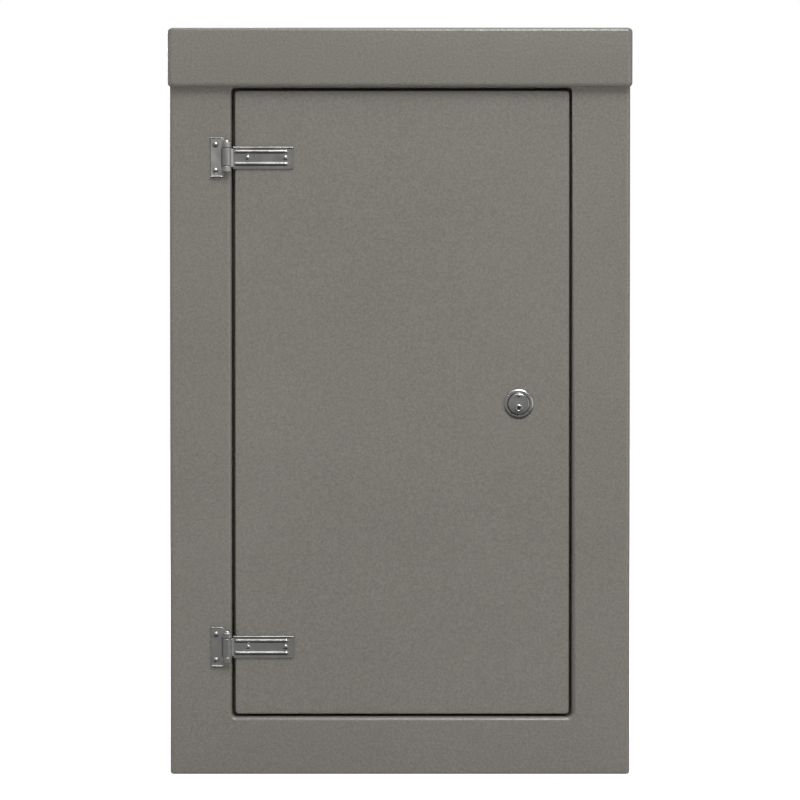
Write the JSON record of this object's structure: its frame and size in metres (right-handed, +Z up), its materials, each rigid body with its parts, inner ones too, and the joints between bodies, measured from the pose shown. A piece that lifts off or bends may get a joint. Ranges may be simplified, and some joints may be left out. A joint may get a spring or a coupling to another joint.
{
  "type": "fire alarm control panel kiosk",
  "caption": "Weatherproof GRP kiosk with a strap-hinged, locking door, holding a wall-type fire alarm control unit, its batteries, supply spur and conduits on a back board.",
  "frame": {"origin": "centre of the kiosk's overall box, at the surface it stands on", "axes": "+Z up, the door faces -Y, +X is towards the lock side"},
  "size_m": [0.77, 0.42, 1.24],
  "materials": {
    "grp_grey": "semi-gloss gelcoat with a light orange peel",
    "grp_liner": "semi-gloss laminate",
    "stainless": "polished stainless steel",
    "zinc_steel": "zinc-plated steel",
    "seal_rubber": "matt EPDM",
    "vent_plastic": "moulded grey nylon",
    "softwood": "planed pine",
    "plywood": "birch-faced plywood",
    "brass": "satin brass",
    "unit_red": "fine-textured powder coat",
    "fascia_grey": "fine-textured polyester film",
    "window": "clear acrylic",
    "lamp": "tinted lens",
    "board_green": "solder mask",
    "terminal_green": "moulded nylon",
    "component_black": "moulded epoxy",
    "supply_case": "mill-finish sheet",
    "battery_case": "moulded ABS",
    "wire": "PVC insulation",
    "pvc_white": "moulded PVC",
    "fuse_red": "moulded thermoset",
    "button_grey": "moulded silicone",
    "button_red": "moulded silicone"
  },
  "bodies": {
    "root": {"cabinet_shell": "grp_grey", "roof_canopy": "grp_grey", "canopy_bolts": "zinc_steel", "door_seal": "seal_rubber", "side_vents": "vent_plastic", "hinge_leaf_upper": "stainless", "hinge_leaf_lower": "stainless", "hinge_pins": "stainless", "leaf_bolts": "stainless", "leaf_nut_plates": "zinc_steel", "lock_keep": "zinc_steel", "keep_screws": "zinc_steel", "back_battens": "softwood", "back_board": "plywood", "board_screws": "zinc_steel", "earth_bar": "brass", "unit_back_box": "unit_red", "control_board": "board_green", "terminal_blocks": "terminal_green", "board_components": "component_black", "alarm_buzzer": "component_black", "power_supply": "supply_case", "standby_batteries": "battery_case", "battery_bracket": "zinc_steel", "unit_wiring": "wire", "loop_conduit": "pvc_white", "sounder_conduit": "pvc_white", "supply_conduit": "pvc_white", "conduit_saddles": "pvc_white", "spur_box": "pvc_white", "spur_plate": "pvc_white", "unit_hinge_pins": "zinc_steel"},
    "door": {"door_skin": "grp_grey", "door_core": "plywood", "door_liner": "grp_liner", "hinge_strap_upper": "stainless", "hinge_strap_lower": "stainless", "strap_bolts": "stainless", "lock_rose": "stainless", "lock_barrel": "zinc_steel", "lock_nut": "zinc_steel", "cover_rivet": "stainless", "logbook_pocket": "component_black"},
    "unit_door": {"unit_cover": "unit_red", "unit_fascia": "fascia_grey", "display_window": "window", "status_lamps": "lamp", "unit_lock_barrel": "zinc_steel", "access_barrel": "zinc_steel"},
    "keyhole_cover": {"keyhole_cover": "stainless"},
    "cabinet_lock": {"lock_plug": "brass", "lock_cam": "zinc_steel", "cam_nut": "zinc_steel"},
    "unit_lock": {"unit_lock_core": "brass"},
    "access_switch": {"access_core": "brass"},
    "silence_button": {"silence_button": "button_grey"},
    "reset_button": {"reset_button": "button_grey"},
    "evacuate_button": {"evacuate_button": "button_red"},
    "test_button": {"test_button": "button_grey"},
    "fuse_carrier": {"fuse_carrier": "fuse_red"}
  },
  "joints": [
    {"name": "door_hinge", "type": "hinge", "parent": "root", "child": "door", "pos_m": [-0.287, -0.202, 0.619], "axis": [0, 0, -1], "range_deg": [0, 180]},
    {"name": "keyhole_cover_swing", "type": "hinge", "parent": "door", "child": "keyhole_cover", "pos_m": [0.1975, -0.195, 0.63125], "axis": [0, -1, 0], "range_deg": [-150, 150]},
    {"name": "cabinet_lock_turn", "type": "hinge", "parent": "door", "child": "cabinet_lock", "pos_m": [0.1975, -0.17, 0.61725], "axis": [0, -1, 0], "range_deg": [0, 90]},
    {"name": "unit_cover_hinge", "type": "hinge", "parent": "root", "child": "unit_door", "pos_m": [-0.124, 0.099, 0.8], "axis": [0, 0, -1], "range_deg": [0, 100]},
    {"name": "unit_lock_turn", "type": "hinge", "parent": "unit_door", "child": "unit_lock", "pos_m": [0.098, 0.09, 0.7], "axis": [0, -1, 0], "range_deg": [0, 90]},
    {"name": "access_switch_turn", "type": "hinge", "parent": "unit_door", "child": "access_switch", "pos_m": [0.088, 0.086, 0.81], "axis": [0, -1, 0], "range_deg": [0, 90]},
    {"name": "silence_button_press", "type": "slide", "parent": "unit_door", "child": "silence_button", "axis": [0, 1, 0], "range_m": [0, 0.002], "stiffness_N_per_m": 400, "springref_m": -0.002},
    {"name": "reset_button_press", "type": "slide", "parent": "unit_door", "child": "reset_button", "axis": [0, 1, 0], "range_m": [0, 0.002], "stiffness_N_per_m": 400, "springref_m": -0.002},
    {"name": "evacuate_button_press", "type": "slide", "parent": "unit_door", "child": "evacuate_button", "axis": [0, 1, 0], "range_m": [0, 0.002], "stiffness_N_per_m": 400, "springref_m": -0.002},
    {"name": "test_button_press", "type": "slide", "parent": "unit_door", "child": "test_button", "axis": [0, 1, 0], "range_m": [0, 0.002], "stiffness_N_per_m": 400, "springref_m": -0.002},
    {"name": "fuse_carrier_pull", "type": "slide", "parent": "root", "child": "fuse_carrier", "axis": [0, -1, 0], "range_m": [0, 0.01]}
  ]
}
